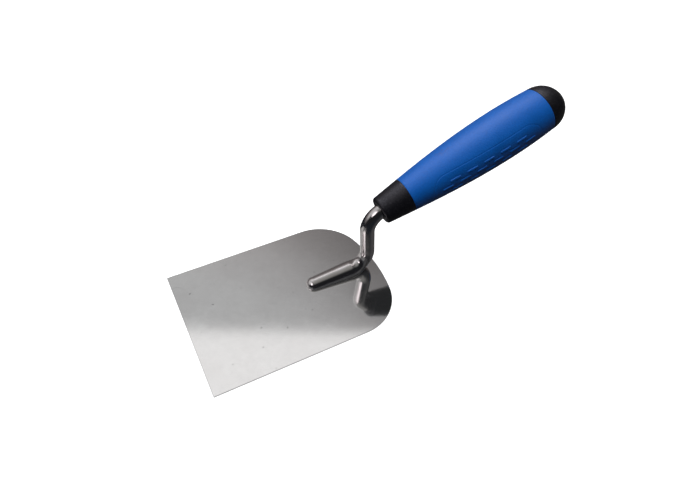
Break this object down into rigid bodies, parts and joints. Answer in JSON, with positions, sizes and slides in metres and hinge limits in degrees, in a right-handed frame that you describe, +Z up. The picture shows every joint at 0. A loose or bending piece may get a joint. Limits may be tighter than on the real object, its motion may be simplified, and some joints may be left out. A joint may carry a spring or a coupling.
{
  "type": "palette knife",
  "caption": "Trowel-shaped palette knife: flat stainless blade with a rounded rear, cranked round-bar neck and a soft-grip handle with black ends.",
  "frame": {"origin": "middle of the blade's sole, on the plane of symmetry", "axes": "+X along the blade towards the handle, +Z up away from the sole, +Y across the blade"},
  "size_m": [0.2762, 0.1, 0.1123],
  "materials": {
    "blade_steel": "satin",
    "neck_steel": "polished",
    "weld_metal": "satin",
    "black_plastic": "satin",
    "core_plastic": "matte",
    "blue_soft_grip": "matte"
  },
  "bodies": {
    "root": {"blade": "blade_steel", "weld_nuggets": "weld_metal", "shank": "neck_steel", "front_collar": "black_plastic", "handle_core": "core_plastic", "grip_sleeve": "blue_soft_grip", "end_cap": "black_plastic"}
  },
  "joints": []
}
